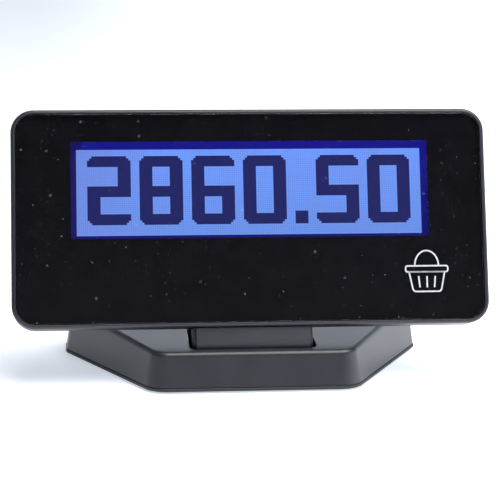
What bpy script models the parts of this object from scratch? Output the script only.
"""Desk customer display: a tilting LCD head on a short hinged arm, in a low wedge-shaped base.

World frame: +X is the viewer's right, +Y points away from the viewer, +Z is up, and the feet stand on z = 0.
Head frame, used by every piece that tilts: x as above, w is the depth behind the front face (local y) and
v is the height above the head's bottom edge (local z).
"""

from math import acos, asin, cos, pi, radians, sin, tan

import bmesh
import bpy
from mathutils import Vector

GAP = 0.0003  # clearance between neighbours that touch
ARC_STEPS = 5  # segments in a rounded corner

# Base
BASE_DEPTH = 0.094
FRONT_Y = -BASE_DEPTH / 2
FRONT_HALF = 0.0303
SIDE_HALF = 0.0559
REAR_HALF = 0.034
SIDE_START = 0.047  # distance of the widest stretch behind the front edge
SIDE_END = 0.056
CORNER_RADIUS = 0.008
SIDE_RADIUS = 0.005
FOOT_PROUD = 0.0006
LIP_HEIGHT = 0.0010
LIP_PROUD = 0.0003
SHELL_BOTTOM = FOOT_PROUD + LIP_HEIGHT + GAP
TOP_FRONT = 0.0120  # height of the top plane at its front edge
TOP_SLOPE = radians(4.0)
TOP_INSET = 0.0019  # draft of the walls, bottom to top
EDGE_RADIUS = 0.0015
BASE_WALL = 0.0018
PLATE_TOP = 0.0027
BOSS_RADIUS = 0.0028
PILOT_RADIUS = 0.0012
FOOT_RADIUS = 0.0045
FOOT_TOP = 0.0014
BALLAST = ((-0.036, 0.036), (0.0340, 0.0640), (0.0030, 0.0080))  # x, y from the front edge, z
BALLAST_SCREW_X = 0.018

# Slot in the base for the arm
SLOT_HALF = 0.0188
SLOT_FRONT = 0.0053  # behind the base's front edge
SLOT_REAR = 0.0255
SLOT_RADIUS = 0.0020
WELL_WALL = 0.0012
WELL_BOTTOM = 0.0050

# Hinge
HINGE_Y = FRONT_Y + 0.0114
HINGE_Z = 0.0132
REST_TILT = radians(18.5)
BARREL_RADIUS = 0.0055
CAVITY_RADIUS = 0.0041
SHAFT_RADIUS = 0.0020
SHAFT_CLEARANCE = 0.00012
EAR_RADIUS = 0.0033
NECK_HALF = 0.0021
STEEL = 0.0015
FIXED_EAR = 0.0076  # inner face of the base's ears, from the middle
MOVING_EAR = 0.0102
BRACKET_BOTTOM = 0.0030
BRACKET_SCREW_X = 0.009
BRACKET_SCREW_Y = 0.0205  # behind the base's front edge

# Arm
ARM_HALF = 0.0179
ARM_COVER_HALF = 0.0170
ARM_WALL = 0.0014
ARM_SCREW_X = 0.0045
ARM_SCREW_V = 0.0022
COVER_ARC_END = 236  # where the arm's front moulding ends under the hinge, in degrees
LEAF_FRONT = 0.0021
LEAF_BACK = LEAF_FRONT + STEEL
LEAF_HALF = 0.0117
LEAF_TOP = 0.0197
TAB_HALF = 0.0070  # the leaf's lower tab between the fixed ears
TAB_FRONT = 0.0023
TAB_LOW = 0.0006

# Head
HEAD_W = -0.0069  # head frame's origin from the hinge axis, across and along the head
HEAD_V = 0.0037
ARM_TOP = HEAD_V - GAP
HEAD_WIDTH = 0.1424
HEAD_HEIGHT = 0.0652
HEAD_RADIUS = 0.0068
BEZEL_DEPTH = 0.0085
HEAD_DEPTH = 0.0175
HEAD_WALL = 0.0018
SIDE_FLAT = 0.0100  # where the rear chamfer starts
BACK_INSET = 0.0040  # how far the sides and top of the back are drawn in
BACK_LOW = 0.0072  # height of the bottom edge of the back
BACK_SOFT = 0.0008
RIM_SIDE = 0.0013
RIM_TOP = 0.0011
LENS_FRONT = 0.0002
LENS_BACK = 0.0015
LENS_RADIUS = 0.0056
WINDOW_WIDTH = 0.1073
WINDOW_HEIGHT = 0.0291
WINDOW_V = 0.0411
LEDGE_FRONT = 0.0024
LEDGE_BACK = 0.0036
MODULE_HALF = 0.0570
MODULE_LOW = 0.0220
MODULE_HIGH = 0.0600
BOARD_FRONT = 0.0114
BOARD_BACK = 0.0130
BOARD_HALF = 0.0620
BOARD_LOW = 0.0200
BOARD_HIGH = 0.0590
BOARD_SCREW_X = 0.0598
BOARD_SCREW_V = (0.0240, 0.0550)
COVER_SCREW_X = 0.0657
COVER_SCREW_V = (0.0085, 0.0578)
LEAF_SCREW_X = 0.0080
LEAF_SCREW_V = 0.0115
SOCKET_X = -0.0420
SOCKET_V = 0.0300
VENT_PITCH = 0.0045
VENT_COUNT = 9
VENT_HALF = 0.0007
VENT_V = (0.0420, 0.0540)

COLOURS = {
    "dark_plastic": ((0.045, 0.046, 0.052), 0.42, 0.0),
    "plate_plastic": ((0.012, 0.012, 0.014), 0.55, 0.0),
    "lens": ((0.006, 0.006, 0.008), 0.06, 0.0),
    "tape": ((0.02, 0.02, 0.02), 0.8, 0.0),
    "lcd": ((0.05, 0.09, 0.55), 0.12, 0.0),
    "white_plastic": ((0.78, 0.78, 0.76), 0.5, 0.0),
    "acrylic": ((0.80, 0.86, 0.95), 0.08, 0.0),
    "film": ((0.85, 0.87, 0.92), 0.4, 0.0),
    "elastomer": ((0.10, 0.08, 0.10), 0.7, 0.0),
    "board": ((0.02, 0.11, 0.05), 0.45, 0.0),
    "chip": ((0.015, 0.015, 0.017), 0.4, 0.0),
    "tin": ((0.62, 0.62, 0.60), 0.35, 1.0),
    "steel": ((0.50, 0.50, 0.52), 0.32, 1.0),
    "screw": ((0.10, 0.10, 0.11), 0.35, 1.0),
    "bronze": ((0.50, 0.33, 0.15), 0.4, 1.0),
    "rubber": ((0.012, 0.012, 0.012), 0.9, 0.0),
}


def clear_scene():
    for obj in list(bpy.data.objects):
        bpy.data.objects.remove(obj, do_unlink=True)


def material(name):
    found = bpy.data.materials.get(name)
    if found:
        return found
    colour, roughness, metallic = COLOURS[name]
    made = bpy.data.materials.new(name)
    made.use_nodes = True
    shader = made.node_tree.nodes["Principled BSDF"]
    shader.inputs["Base Color"].default_value = (*colour, 1.0)
    shader.inputs["Roughness"].default_value = roughness
    shader.inputs["Metallic"].default_value = metallic
    made.diffuse_color = (*colour, 1.0)
    return made


def link(name, mesh, material_name):
    """A named object with its material, shaded smooth except across real edges."""
    obj = bpy.data.objects.new(name, mesh)
    bpy.context.scene.collection.objects.link(obj)
    mesh.materials.clear()
    mesh.materials.append(material(material_name))
    mesh.shade_smooth()
    mesh.set_sharp_from_angle(angle=radians(35))
    return obj


def loft_mesh(name, rings):
    """A closed mesh through rings of equal length, capped at both ends."""
    shape = bmesh.new()
    loops = [[shape.verts.new(point) for point in ring] for ring in rings]
    for low, high in zip(loops, loops[1:]):
        for i in range(len(low)):
            j = (i + 1) % len(low)
            shape.faces.new((low[i], low[j], high[j], high[i]))
    shape.faces.new(loops[0])
    shape.faces.new(loops[-1])
    bmesh.ops.recalc_face_normals(shape, faces=shape.faces)
    mesh = bpy.data.meshes.new(name)
    shape.to_mesh(mesh)
    shape.free()
    return mesh


def loft(name, rings, material_name="dark_plastic"):
    return link(name, loft_mesh(name, rings), material_name)


def rounded_polygon(corners, radii, steps=ARC_STEPS):
    """Points round a convex anticlockwise polygon, with an arc at each corner."""
    points = []
    count = len(corners)
    for i, corner in enumerate(corners):
        here = Vector(corner)
        back = (Vector(corners[i - 1]) - here).normalized()
        ahead = (Vector(corners[(i + 1) % count]) - here).normalized()
        half = acos(max(-1.0, min(1.0, back.dot(ahead)))) / 2
        radius = radii[i]
        centre = here + (back + ahead).normalized() * radius / sin(half)
        start = here + back * radius / tan(half) - centre
        end = here + ahead * radius / tan(half) - centre
        sweep = start.angle_signed(end)
        for k in range(steps + 1):
            angle = -sweep * k / steps
            turned = (
                start.x * cos(angle) - start.y * sin(angle),
                start.x * sin(angle) + start.y * cos(angle),
            )
            points.append((centre.x + turned[0], centre.y + turned[1]))
    return points


def inset_polygon(corners, inset):
    """The same polygon with every edge moved inwards by one distance."""
    moved = []
    count = len(corners)
    for i, corner in enumerate(corners):
        here = Vector(corner)
        back = (here - Vector(corners[i - 1])).normalized()
        ahead = (Vector(corners[(i + 1) % count]) - here).normalized()
        normal_back = Vector((-back.y, back.x))
        normal_ahead = Vector((-ahead.y, ahead.x))
        bisector = (normal_back + normal_ahead).normalized()
        moved.append(tuple(here + bisector * inset / bisector.dot(normal_ahead)))
    return moved


def rounded_rect(width, height, radius, centre=(0.0, 0.0), steps=ARC_STEPS):
    x, y = centre
    a, b = width / 2, height / 2
    corners = [(x - a, y - b), (x + a, y - b), (x + a, y + b), (x - a, y + b)]
    return rounded_polygon(corners, [radius] * 4, steps)


def circle(radius, count, centre=(0.0, 0.0), turn=0.0):
    angles = [turn + 2 * pi * k / count for k in range(count)]
    return [(centre[0] + radius * cos(a), centre[1] + radius * sin(a)) for a in angles]


def across(outline, w):
    """An outline of (x, v) points, placed at depth w."""
    return [(x, w, v) for x, v in outline]


def level(outline, z):
    """An outline of (x, y) points, placed at height z."""
    return [(x, y, z) for x, y in outline]


def sideways(outline, x):
    """An outline of (y, z) points, placed at x."""
    return [(x, y, z) for y, z in outline]


def box(name, low, high, material_name="dark_plastic"):
    corners = [(low[0], low[1]), (high[0], low[1]), (high[0], high[1]), (low[0], high[1])]
    return loft(name, [level(corners, low[2]), level(corners, high[2])], material_name)


def helper(obj):
    """Marks a cutter or a shape that is joined to another, so that it is no part of its own."""
    obj.hide_render = True
    obj.display_type = "WIRE"
    return obj


def combine(obj, other, operation, solver):
    other.parent = obj.parent
    other.location = obj.location
    helper(other)
    modifier = obj.modifiers.new(operation.lower(), "BOOLEAN")
    modifier.operation = operation
    modifier.solver = solver
    modifier.object = other


def cut(obj, *cutters, solver="EXACT"):
    for cutter in cutters:
        combine(obj, cutter, "DIFFERENCE", solver)


def join(obj, *others, solver="EXACT"):
    for other in others:
        combine(obj, other, "UNION", solver)


def bake(obj):
    """Turns the modifiers into plain mesh, so that copies can share it."""
    graph = bpy.context.evaluated_depsgraph_get()
    mesh = bpy.data.meshes.new_from_object(obj.evaluated_get(graph))
    obj.modifiers.clear()
    obj.data = mesh
    mesh.shade_smooth()
    mesh.set_sharp_from_angle(angle=radians(35))
    return mesh


def rod(name, radius, start, end, centre, axis, count=16, material_name="dark_plastic"):
    """A round bar along x, y or z between two places on that axis."""
    place = {"x": sideways, "y": across, "z": level}[axis]
    ring = circle(radius, count, centre)
    return loft(name, [place(ring, start), place(ring, end)], material_name)


def ring_on_axis(name, pivot, inner, outer, start, end, sides, material_name):
    """A washer or a nut round the hinge axis, from one x to another."""
    solid = rod(name, outer, start, end, (0.0, 0.0), "x", sides, material_name)
    solid.parent = pivot
    cut(solid, rod(name + "_hole", inner, start - GAP, end + GAP, (0.0, 0.0), "x", 24))


def screw_mesh(head_radius, head_height, shank_radius, length):
    """A pan-head screw standing on z = 0 with its head up and a cross recess."""
    count = 14
    outline = (
        (shank_radius * 0.6, -length),
        (shank_radius, -length + shank_radius),
        (shank_radius, 0.0),
        (head_radius, 0.0),
        (head_radius, head_height * 0.5),
        (head_radius * 0.75, head_height),
    )
    body = loft("screw_body", [level(circle(r, count), z) for r, z in outline], "screw")
    arm, half, depth = head_radius * 0.62, head_radius * 0.15, head_height * 0.55
    top = head_height + GAP
    cut(
        body,
        box("recess_x", (-arm, -half, head_height - depth), (arm, half, top)),
        box("recess_y", (-half, -arm, head_height - depth), (half, arm, top)),
    )
    mesh = bake(body)
    for used in ("screw_body", "recess_x", "recess_y"):
        bpy.data.objects.remove(bpy.data.objects[used], do_unlink=True)
    return mesh


def screw(name, mesh, parent, location, towards):
    """One screw of a set. Its head points down, back or up."""
    obj = link(name, mesh, "screw")
    obj.parent = parent
    obj.location = location
    obj.rotation_euler = {"down": (pi, 0, 0), "back": (-pi / 2, 0, 0), "up": (0, 0, 0)}[towards]
    return obj


def in_head(obj, pivot):
    """Puts a piece that is modelled in the head frame onto the tilting pivot."""
    obj.parent = pivot
    obj.location = (0.0, HEAD_W, HEAD_V)
    return obj


# ---------------------------------------------------------------- base


def base_corners():
    side_start, side_end = FRONT_Y + SIDE_START, FRONT_Y + SIDE_END
    rear = FRONT_Y + BASE_DEPTH
    right = [(FRONT_HALF, FRONT_Y), (SIDE_HALF, side_start), (SIDE_HALF, side_end), (REAR_HALF, rear)]
    return right + [(-x, y) for x, y in reversed(right)]


def base_outline(inset):
    radii = [CORNER_RADIUS, SIDE_RADIUS, SIDE_RADIUS, CORNER_RADIUS]
    radii = [max(radius - inset, 0.0012) for radius in radii + radii[::-1]]
    return rounded_polygon(inset_polygon(base_corners(), inset), radii)


def top_height(y):
    return TOP_FRONT + (y - FRONT_Y - TOP_INSET) * tan(TOP_SLOPE)


def under_top(outline, drop):
    """An outline that lies a distance below the base's sloping top."""
    return [(x, y, top_height(y) - drop) for x, y in outline]


def slot_outline(grow):
    width = 2 * (SLOT_HALF + grow)
    depth = SLOT_REAR - SLOT_FRONT + 2 * grow
    middle = FRONT_Y + (SLOT_FRONT + SLOT_REAR) / 2
    return rounded_rect(width, depth, SLOT_RADIUS + grow, (0.0, middle), 4)


def base_screw_places():
    return [(x, FRONT_Y + y) for x, y in ((-0.030, 0.030), (0.030, 0.030), (-0.030, 0.068), (0.030, 0.068))]


def make_base_shell():
    rings = [level(base_outline(LIP_PROUD), SHELL_BOTTOM)]
    for k in range(5):
        angle = k * pi / 8
        inset = TOP_INSET + EDGE_RADIUS * (1 - cos(angle))
        rings.append(under_top(base_outline(inset), EDGE_RADIUS * (1 - sin(angle))))
    shell = loft("base_shell", rings)
    hollow = loft(
        "base_shell_hollow",
        [
            level(base_outline(LIP_PROUD + BASE_WALL), SHELL_BOTTOM - 0.001),
            under_top(base_outline(TOP_INSET + BASE_WALL), BASE_WALL),
        ],
    )
    cut(shell, hollow)
    well = slot_outline(WELL_WALL)
    join(shell, loft("slot_well", [level(well, WELL_BOTTOM), under_top(well, 0.0010)]))
    for i, (x, y) in enumerate(base_screw_places()):
        ring = circle(BOSS_RADIUS, 14, (x, y))
        boss = loft(f"shell_boss_{i}", [level(ring, PLATE_TOP + GAP), under_top(ring, 0.0010)])
        join(shell, boss)
        pilot = rod(f"shell_pilot_{i}", PILOT_RADIUS + 0.0002, 0.0, 0.0100, (x, y), "z", 12)
        cut(shell, pilot)
    slot = slot_outline(0.0)
    cut(shell, loft("slot_cutter", [level(slot, 0.002), level(slot, 0.020)]))
    return shell


def foot_places():
    return [(x, FRONT_Y + y) for x, y in ((-0.026, 0.012), (0.026, 0.012), (-0.031, 0.082), (0.031, 0.082))]


def plate_boss(plate, name, centre, radius, top):
    """A boss that stands on the base plate, with a blind pilot hole."""
    join(plate, rod(name, radius, PLATE_TOP - 0.0005, top, centre, "z", 14))
    cut(plate, rod(name + "_pilot", PILOT_RADIUS + 0.0002, 0.0016, top + 0.001, centre, "z", 12))


def make_base_plate():
    spigot = LIP_PROUD + BASE_WALL + GAP
    plate = loft(
        "base_plate",
        [
            level(base_outline(0.0003), FOOT_PROUD),
            level(base_outline(0.0), FOOT_PROUD + 0.0003),
            level(base_outline(0.0), FOOT_PROUD + LIP_HEIGHT),
            level(base_outline(spigot), FOOT_PROUD + LIP_HEIGHT),
            level(base_outline(spigot), PLATE_TOP),
        ],
        "plate_plastic",
    )
    for i, centre in enumerate(foot_places()):
        cut(plate, rod(f"foot_recess_{i}", FOOT_RADIUS + GAP, 0.0, FOOT_TOP + GAP, centre, "z", 24))
    for i, centre in enumerate(base_screw_places()):
        cut(
            plate,
            rod(f"plate_hole_{i}", 0.0017, 0.0, 0.0040, centre, "z", 12),
            rod(f"plate_sink_{i}", 0.0030, 0.0, 0.0019, centre, "z", 16),
        )
    ballast_y = FRONT_Y + sum(BALLAST[1]) / 2
    for i, side in enumerate((-1, 1)):
        plate_boss(plate, f"ballast_boss_{i}", (side * BALLAST_SCREW_X, ballast_y), 0.0026, BALLAST[2][1])
        place = (side * BRACKET_SCREW_X, FRONT_Y + BRACKET_SCREW_Y)
        plate_boss(plate, f"bracket_boss_{i}", place, 0.0022, BRACKET_BOTTOM + STEEL)
    return plate


def make_feet():
    for i, (x, y) in enumerate(foot_places()):
        rings = ((FOOT_RADIUS - 0.0004, 0.0), (FOOT_RADIUS, 0.0004), (FOOT_RADIUS, FOOT_TOP))
        outline = [level(circle(radius, 24), z) for radius, z in rings]
        loft(f"foot_{i + 1}", outline, "rubber").location = (x, y, 0.0)


def make_base_screws():
    mesh = screw_mesh(0.0026, 0.0012, PILOT_RADIUS, 0.0065)
    for i, (x, y) in enumerate(base_screw_places()):
        screw(f"base_screw_{i + 1}", mesh, None, (x, y, 0.0022 - GAP), "down")


def make_ballast():
    (x0, x1), (y0, y1), (z0, z1) = BALLAST
    corners = [(x0, FRONT_Y + y0), (x1, FRONT_Y + y0), (x1, FRONT_Y + y1), (x0, FRONT_Y + y1)]
    outline = rounded_polygon(corners, [0.003] * 4, 3)
    plate = loft("ballast_plate", [level(outline, z0), level(outline, z1)], "steel")
    middle = FRONT_Y + (y0 + y1) / 2
    mesh = screw_mesh(0.0042, 0.0016, PILOT_RADIUS, 0.0050)
    for i, side in enumerate((-1, 1)):
        x = side * BALLAST_SCREW_X
        cut(plate, rod(f"ballast_hole_{i}", 0.0029, 0.0, 0.0120, (x, middle), "z", 16))
        screw(f"ballast_screw_{i + 1}", mesh, None, (x, middle, z1 + GAP), "up")


# ---------------------------------------------------------------- hinge


def ear_outline(centre, low, steps=12):
    """A round-ended ear: a disc round the hinge axis on a narrower neck that goes down to low."""
    y, z = centre
    bend = asin(NECK_HALF / EAR_RADIUS)
    start, end = -pi / 2 + bend, 1.5 * pi - bend
    points = [(y - NECK_HALF, low), (y + NECK_HALF, low)]
    for k in range(steps + 1):
        angle = start + (end - start) * k / steps
        points.append((y + EAR_RADIUS * cos(angle), z + EAR_RADIUS * sin(angle)))
    return points


def make_hinge_bracket():
    """The pressed bracket that is screwed to the base plate and carries the shaft."""
    low, high = BRACKET_BOTTOM, BRACKET_BOTTOM + STEEL
    half = FIXED_EAR + STEEL
    rear = FRONT_Y + BRACKET_SCREW_Y + 0.0045
    corners = [(-half - 0.004, HINGE_Y - 0.004), (half + 0.004, HINGE_Y - 0.004)]
    corners += [(half + 0.004, rear), (-half - 0.004, rear)]
    outline = rounded_polygon(corners, [0.0015] * 4, 3)
    bracket = loft("hinge_bracket", [level(outline, low), level(outline, high)], "steel")
    ear = ear_outline((HINGE_Y, HINGE_Z), high - 0.0005)
    for side in (-1, 1):
        near, far = side * FIXED_EAR, side * (FIXED_EAR + STEEL)
        join(bracket, loft(f"fixed_ear_{side}", [sideways(ear, near), sideways(ear, far)]))
    bore = SHAFT_RADIUS + SHAFT_CLEARANCE
    cut(bracket, rod("fixed_bore", bore, -half - 0.001, half + 0.001, (HINGE_Y, HINGE_Z), "x", 24))
    mesh = screw_mesh(0.0030, 0.0014, PILOT_RADIUS, 0.0024)
    for i, side in enumerate((-1, 1)):
        x, y = side * BRACKET_SCREW_X, FRONT_Y + BRACKET_SCREW_Y
        cut(bracket, rod(f"bracket_hole_{i}", 0.0025, 0.0, 0.0080, (x, y), "z", 16))
        screw(f"bracket_screw_{i + 1}", mesh, None, (x, y, high + GAP), "up")


def make_hinge_stack(pivot):
    """The shaft with its washers and nut. Every piece lies round the hinge axis."""
    ear_end = MOVING_EAR + STEEL
    spring = (ear_end + GAP, ear_end + GAP + 0.0006)
    head = (spring[1] + GAP, spring[1] + GAP + 0.0020)
    rings = (
        (0.0032, -head[1]),
        (0.0032, -head[0]),
        (SHAFT_RADIUS, -head[0]),
        (SHAFT_RADIUS, head[1] - 0.0003),
        (SHAFT_RADIUS - 0.0003, head[1]),
    )
    outline = [sideways(circle(radius, 24), x) for radius, x in rings]
    loft("hinge_shaft", outline, "steel").parent = pivot
    bore = SHAFT_RADIUS + SHAFT_CLEARANCE
    ring_on_axis("hinge_nut", pivot, bore, 0.0033, head[0], head[1] - 0.0003, 6, "steel")
    friction = (FIXED_EAR + STEEL + GAP, MOVING_EAR - GAP)
    for side, word in ((-1, "left"), (1, "right")):
        for kind, ends, tone in (("friction", friction, "bronze"), ("spring", spring, "steel")):
            start, end = sorted(side * x for x in ends)
            ring_on_axis(f"{kind}_washer_{word}", pivot, bore, 0.0032, start, end, 24, tone)


# ---------------------------------------------------------------- arm


def arc(radius, start, end, steps):
    """Points on an arc round the hinge axis, from one angle to another in degrees."""
    angles = [radians(start + (end - start) * k / steps) for k in range(steps + 1)]
    return [(radius * cos(a), radius * sin(a)) for a in angles]


def chamfer_v(w):
    """Height of the head's sloping underside at a depth from the hinge axis."""
    return HEAD_V + max(0.0, w - HEAD_W - SIDE_FLAT)


def make_arm_cover(pivot):
    """The thin front moulding: flat under the head, rolled under at the hinge."""
    outline = [(-BARREL_RADIUS, ARM_TOP)]
    outline += arc(BARREL_RADIUS, 180, COVER_ARC_END, 6)
    outline += arc(BARREL_RADIUS - ARM_WALL, COVER_ARC_END, 180, 6)
    outline += [(-BARREL_RADIUS + ARM_WALL, ARM_TOP)]
    cover = loft("arm_cover", [sideways(outline, -ARM_COVER_HALF), sideways(outline, ARM_COVER_HALF)])
    cover.parent = pivot
    return cover


def make_arm_body(pivot):
    """The rear moulding: end walls and back of the arm, open in front and below for the hinge."""
    front = -BARREL_RADIUS + ARM_WALL + GAP
    skin = BARREL_RADIUS - ARM_WALL - GAP
    outline = [(front, ARM_TOP)] + arc(skin, 180, COVER_ARC_END + 4, 6)
    outline += arc(BARREL_RADIUS, COVER_ARC_END + 4, 360, 10)
    rear_top = chamfer_v(BARREL_RADIUS) - GAP
    outline += [(BARREL_RADIUS, rear_top), (HEAD_W + SIDE_FLAT, ARM_TOP)]
    body = loft("arm_body", [sideways(outline, -ARM_HALF), sideways(outline, ARM_HALF)])
    body.parent = pivot
    inner = ARM_HALF - 0.0017
    rear = BARREL_RADIUS - ARM_WALL
    cavity = arc(CAVITY_RADIUS, 180, 360, 12) + [(rear, 0.0120), (-CAVITY_RADIUS, 0.0120)]
    under = [(0.0, 0.0)] + arc(0.0090, COVER_ARC_END - 4, 345, 6)
    cut(
        body,
        loft("arm_cavity", [sideways(cavity, -inner), sideways(cavity, inner)]),
        loft("arm_underside", [sideways(under, -0.0120), sideways(under, 0.0120)]),
    )
    for side in (-1, 1):
        centre = (side * ARM_SCREW_X, ARM_SCREW_V)
        cut(
            body,
            rod(f"arm_hole_{side}", 0.0013, 0.0030, 0.0080, centre, "y", 12),
            rod(f"arm_sink_{side}", 0.0023, 0.0047, 0.0080, centre, "y", 16),
        )
    return body


def make_arm_core(pivot):
    """The steel leaf from the hinge up into the head."""
    half = LEAF_HALF
    core = box("arm_core", (-half, LEAF_FRONT, EAR_RADIUS + 0.0005), (half, LEAF_BACK, LEAF_TOP), "steel")
    core.parent = pivot
    ear = arc(EAR_RADIUS, -180, 0, 10)
    ear += [(LEAF_BACK, EAR_RADIUS + 0.0015), (LEAF_FRONT, EAR_RADIUS + 0.0015)]
    ear += [(LEAF_FRONT, EAR_RADIUS), (0.0, EAR_RADIUS)]
    for side in (-1, 1):
        near, far = side * MOVING_EAR, side * (MOVING_EAR + STEEL)
        join(core, loft(f"moving_ear_{side}", [sideways(ear, near), sideways(ear, far)]))
    reach = MOVING_EAR + STEEL + 0.001
    cut(core, rod("moving_bore", SHAFT_RADIUS + SHAFT_CLEARANCE, -reach, reach, (0.0, 0.0), "x", 24))
    join(core, box("arm_tab", (-TAB_HALF, TAB_FRONT, TAB_LOW), (TAB_HALF, LEAF_BACK, EAR_RADIUS + 0.0015)))
    for side in (-1, 1):
        centre = (side * LEAF_SCREW_X, HEAD_V + LEAF_SCREW_V)
        cut(core, rod(f"leaf_hole_{side}", 0.0015, 0.0, 0.0080, centre, "y", 12))
        centre = (side * ARM_SCREW_X, ARM_SCREW_V)
        cut(core, rod(f"tab_hole_{side}", 0.0013, 0.0, 0.0080, centre, "y", 12))
    return core


# ---------------------------------------------------------------- head


def head_outline(inset):
    radius = max(HEAD_RADIUS - inset, 0.0008)
    middle = (0.0, HEAD_HEIGHT / 2)
    return rounded_rect(HEAD_WIDTH - 2 * inset, HEAD_HEIGHT - 2 * inset, radius, middle, 6)


def lens_outline(grow):
    width = HEAD_WIDTH - 2 * RIM_SIDE + 2 * grow
    height = HEAD_HEIGHT - 2 * RIM_TOP + 2 * grow
    return rounded_rect(width, height, LENS_RADIUS + grow, (0.0, HEAD_HEIGHT / 2), 6)


def post(name, x, v, radius, start, end, count=14):
    return rod(name, radius, start, end, (x, v), "y", count)


def mirrored(x, heights):
    return [(side * x, v) for side in (-1, 1) for v in heights]


def make_front_bezel(pivot):
    rim = 0.0009
    rings = [across(head_outline(rim), 0.0)]
    for k in range(1, 4):
        angle = k * pi / 6
        rings.append(across(head_outline(rim * (1 - sin(angle))), rim * (1 - cos(angle))))
    rings.append(across(head_outline(0.0), BEZEL_DEPTH))
    bezel = in_head(loft("front_bezel", rings), pivot)
    inner = head_outline(HEAD_WALL)
    window = rounded_rect(WINDOW_WIDTH + 0.001, WINDOW_HEIGHT + 0.001, 0.001, (0.0, WINDOW_V), 2)
    cut(
        bezel,
        loft("lens_recess", [across(lens_outline(0.0), -0.001), across(lens_outline(0.0), LEDGE_FRONT)]),
        loft("bezel_hollow", [across(inner, LEDGE_BACK), across(inner, BEZEL_DEPTH + 0.001)]),
        loft("bezel_window", [across(window, 0.0), across(window, 0.006)]),
    )
    root = LEDGE_BACK - 0.0005
    posts = [(place, 0.0023, 0.0012, BOARD_FRONT - GAP) for place in mirrored(BOARD_SCREW_X, BOARD_SCREW_V)]
    posts += [(place, 0.0025, 0.0012, 0.0100) for place in mirrored(COVER_SCREW_X, COVER_SCREW_V)]
    leaf_end = LEAF_FRONT - HEAD_W - GAP
    posts += [(place, 0.0030, 0.0014, leaf_end) for place in mirrored(LEAF_SCREW_X, (LEAF_SCREW_V,))]
    for i, ((x, v), radius, _, end) in enumerate(posts):
        join(bezel, post(f"post_{i}", x, v, radius, root, end), solver="MANIFOLD")
    for i, ((x, v), _, pilot, end) in enumerate(posts):
        cut(bezel, post(f"post_pilot_{i}", x, v, pilot, 0.0050, end + 0.001, 10), solver="MANIFOLD")
    return bezel


def make_lens(pivot):
    clear = -0.00015
    edge = 0.0003
    lens = loft(
        "front_lens",
        [
            across(lens_outline(clear - edge), LENS_FRONT),
            across(lens_outline(clear), LENS_FRONT + edge),
            across(lens_outline(clear), LENS_BACK),
        ],
        "lens",
    )
    in_head(lens, pivot)
    outer, inner = lens_outline(-0.0006), lens_outline(-0.0046)
    back, front = LEDGE_FRONT - GAP, LENS_BACK + GAP
    tape = in_head(loft("lens_adhesive", [across(outer, front), across(outer, back)], "tape"), pivot)
    cut(tape, loft("tape_opening", [across(inner, front - 0.001), across(inner, back + 0.001)]))


def back_outline(inset):
    """The back's flat face. The underside slopes up to it, to clear the base when the head leans back."""
    width = HEAD_WIDTH - 2 * (BACK_INSET + inset)
    low, high = BACK_LOW + inset, HEAD_HEIGHT - BACK_INSET - inset
    return rounded_rect(width, high - low, 0.0050 - inset, (0.0, (low + high) / 2), 6)


def make_rear_cover(pivot):
    start = BEZEL_DEPTH + GAP
    rings = [
        across(head_outline(0.0), start),
        across(head_outline(0.0), SIDE_FLAT),
        across(back_outline(-BACK_SOFT * 0.6), HEAD_DEPTH - BACK_SOFT),
        across(back_outline(-BACK_SOFT * 0.1), HEAD_DEPTH - BACK_SOFT * 0.3),
        across(back_outline(BACK_SOFT), HEAD_DEPTH),
    ]
    cover = in_head(loft("rear_cover", rings), pivot)
    hollow = [
        across(head_outline(HEAD_WALL), start - 0.001),
        across(head_outline(HEAD_WALL), SIDE_FLAT - 0.0004),
        across(back_outline(HEAD_WALL * 0.7), HEAD_DEPTH - HEAD_WALL),
    ]
    cut(cover, loft("cover_hollow", hollow))
    for i, (x, v) in enumerate(mirrored(COVER_SCREW_X, COVER_SCREW_V)):
        join(cover, post(f"cover_seat_{i}", x, v, 0.0034, 0.0103, 0.0128, 16))
        cut(
            cover,
            post(f"cover_hole_{i}", x, v, 0.0016, 0.0090, 0.0140, 12),
            post(f"cover_sink_{i}", x, v, 0.0026, 0.0118, 0.0200, 16),
        )
    passage = (LEAF_BACK - HEAD_W + 0.0006, LEAF_HALF + 0.0008)
    cut(cover, box("leaf_passage", (-passage[1], start - 0.001, -0.001), (passage[1], passage[0], 0.0060)))
    for i in range(VENT_COUNT):
        x = (i - (VENT_COUNT - 1) / 2) * VENT_PITCH
        low, high = (x - VENT_HALF, 0.0140, VENT_V[0]), (x + VENT_HALF, 0.0200, VENT_V[1])
        cut(cover, box(f"vent_{i}", low, high))
    mouth = rounded_rect(0.0130, 0.0080, 0.0015, (SOCKET_X, SOCKET_V), 3)
    cut(cover, loft("socket_mouth", [across(mouth, 0.0140), across(mouth, 0.0200)]))
    return cover


def module_slab(name, pivot, half, low, high, front, back, tone):
    return in_head(box(name, (-half, front, low), (half, back, high), tone), pivot)


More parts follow.
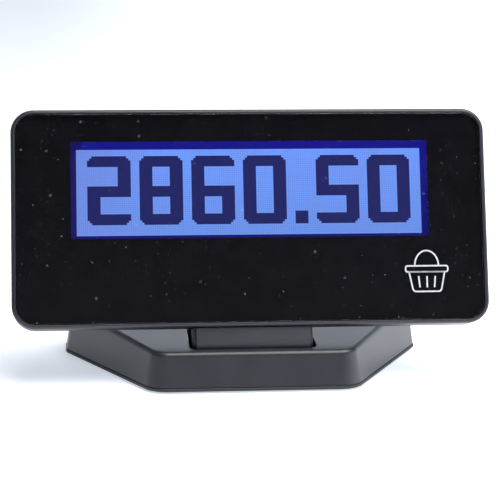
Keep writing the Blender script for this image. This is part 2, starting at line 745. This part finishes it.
def make_lcd(pivot):
    """The LCD module, front to back: can, cell, diffuser and light guide in a moulded holder."""
    sheet = 0.0005
    can_front, can_back = 0.0039, 0.0106
    half, low, high = MODULE_HALF, MODULE_LOW, MODULE_HIGH
    shield = module_slab("lcd_shield", pivot, half, low, high, can_front, can_back, "tin")
    window = rounded_rect(WINDOW_WIDTH + 0.001, WINDOW_HEIGHT + 0.001, 0.0005, (0.0, WINDOW_V), 2)
    inner_low, inner_high = (-half + sheet, can_front + sheet, low + sheet), (half - sheet, 0.012, high - sheet)
    cut(
        shield,
        box("can_hollow", inner_low, inner_high),
        loft("can_window", [across(window, 0.003), across(window, 0.006)]),
    )
    front, back = 0.0047, 0.0102
    half, low, high = half - sheet - GAP, low + sheet + GAP, high - sheet - GAP
    holder = module_slab("lcd_holder", pivot, half, low, high, front, back, "white_plastic")
    wall = 0.0012
    half, low, high = half - wall, low + wall, high - wall
    cut(holder, box("holder_hollow", (-half, front - 0.001, low), (half, back + 0.001, high)))
    half, low, high = half - GAP, low + GAP, high - GAP
    module_slab("lcd_glass", pivot, half, low, high, front, 0.0067, "lcd")
    guide_low = low + 0.0032
    module_slab("diffuser", pivot, half, guide_low, high, 0.0070, 0.0074, "film")
    guide = box("light_guide", (-half + 0.0026, 0.0077, guide_low), (half, back, high), "acrylic")
    in_head(guide, pivot)
    strip = box("led_strip", (-half, 0.0077, guide_low), (-half + 0.0023, back, high), "white_plastic")
    in_head(strip, pivot)
    in_head(box("contact_strip", (-0.050, 0.0070, low + 0.0004), (0.050, BOARD_FRONT - GAP, low + 0.0026),
                "elastomer"), pivot)


def make_board(pivot):
    middle = (0.0, (BOARD_LOW + BOARD_HIGH) / 2)
    outline = rounded_rect(2 * BOARD_HALF, BOARD_HIGH - BOARD_LOW, 0.0012, middle, 2)
    board = loft("display_board", [across(outline, BOARD_FRONT), across(outline, BOARD_BACK)], "board")
    in_head(board, pivot)
    for i, (x, v) in enumerate(mirrored(BOARD_SCREW_X, BOARD_SCREW_V)):
        cut(board, post(f"board_hole_{i}", x, v, 0.0015, 0.010, 0.015, 12))
    seat = BOARD_BACK + GAP
    in_head(box("controller_chip", (-0.017, seat, 0.033), (-0.003, seat + 0.0016, 0.047), "chip"), pivot)
    in_head(box("usb_chip", (-0.046, seat, 0.040), (-0.039, seat + 0.0010, 0.047), "chip"), pivot)


def make_usb_socket(pivot):
    """The only connector: a small upright socket with its mouth at the back of the head."""
    seat, mouth = BOARD_BACK + GAP, HEAD_DEPTH - 0.0005
    shell = rounded_rect(0.0080, 0.0030, 0.0006, (SOCKET_X, SOCKET_V), 2)
    inside = rounded_rect(0.0070, 0.0020, 0.0004, (SOCKET_X, SOCKET_V), 2)
    socket = loft("usb_socket", [across(shell, seat), across(shell, mouth)], "tin")
    in_head(socket, pivot)
    cut(socket, loft("socket_hollow", [across(inside, seat + 0.0008), across(inside, mouth + 0.001)]))
    tongue_low = (SOCKET_X - 0.0024, seat + 0.0003, SOCKET_V - 0.0003)
    tongue_high = (SOCKET_X + 0.0024, mouth - 0.0006, SOCKET_V + 0.0003)
    join(socket, box("socket_tongue", tongue_low, tongue_high))


def make_head_screws(pivot):
    board_mesh = screw_mesh(0.0021, 0.0012, 0.0010, 0.0065)
    cover_mesh = screw_mesh(0.0023, 0.0013, 0.0010, 0.0065)
    leaf_mesh = screw_mesh(0.0026, 0.0013, 0.0012, 0.0054)
    arm_mesh = screw_mesh(0.0020, 0.0010, 0.0011, 0.0025)
    sets = (
        ("board_screw", board_mesh, mirrored(BOARD_SCREW_X, BOARD_SCREW_V), BOARD_BACK + GAP),
        ("cover_screw", cover_mesh, mirrored(COVER_SCREW_X, COVER_SCREW_V), 0.0118 + GAP),
        ("leaf_screw", leaf_mesh, mirrored(LEAF_SCREW_X, (LEAF_SCREW_V,)), LEAF_BACK - HEAD_W + GAP),
    )
    for name, mesh, centres, w in sets:
        for i, (x, v) in enumerate(centres):
            screw(f"{name}_{i + 1}", mesh, pivot, (x, HEAD_W + w, HEAD_V + v), "back")
    for i, side in enumerate((-1, 1)):
        place = (side * ARM_SCREW_X, 0.0047 + GAP, ARM_SCREW_V)
        screw(f"arm_screw_{i + 1}", arm_mesh, pivot, place, "back")


def main():
    clear_scene()
    make_base_shell()
    make_base_plate()
    make_feet()
    make_base_screws()
    make_ballast()
    make_hinge_bracket()
    pivot = bpy.data.objects.new("tilt_axis", None)
    bpy.context.scene.collection.objects.link(pivot)
    pivot.location = (0.0, HINGE_Y, HINGE_Z)
    pivot.rotation_euler = (-REST_TILT, 0.0, 0.0)
    make_hinge_stack(pivot)
    make_arm_cover(pivot)
    make_arm_body(pivot)
    make_arm_core(pivot)
    make_front_bezel(pivot)
    make_lens(pivot)
    make_rear_cover(pivot)
    make_lcd(pivot)
    make_board(pivot)
    make_usb_socket(pivot)
    make_head_screws(pivot)


main()
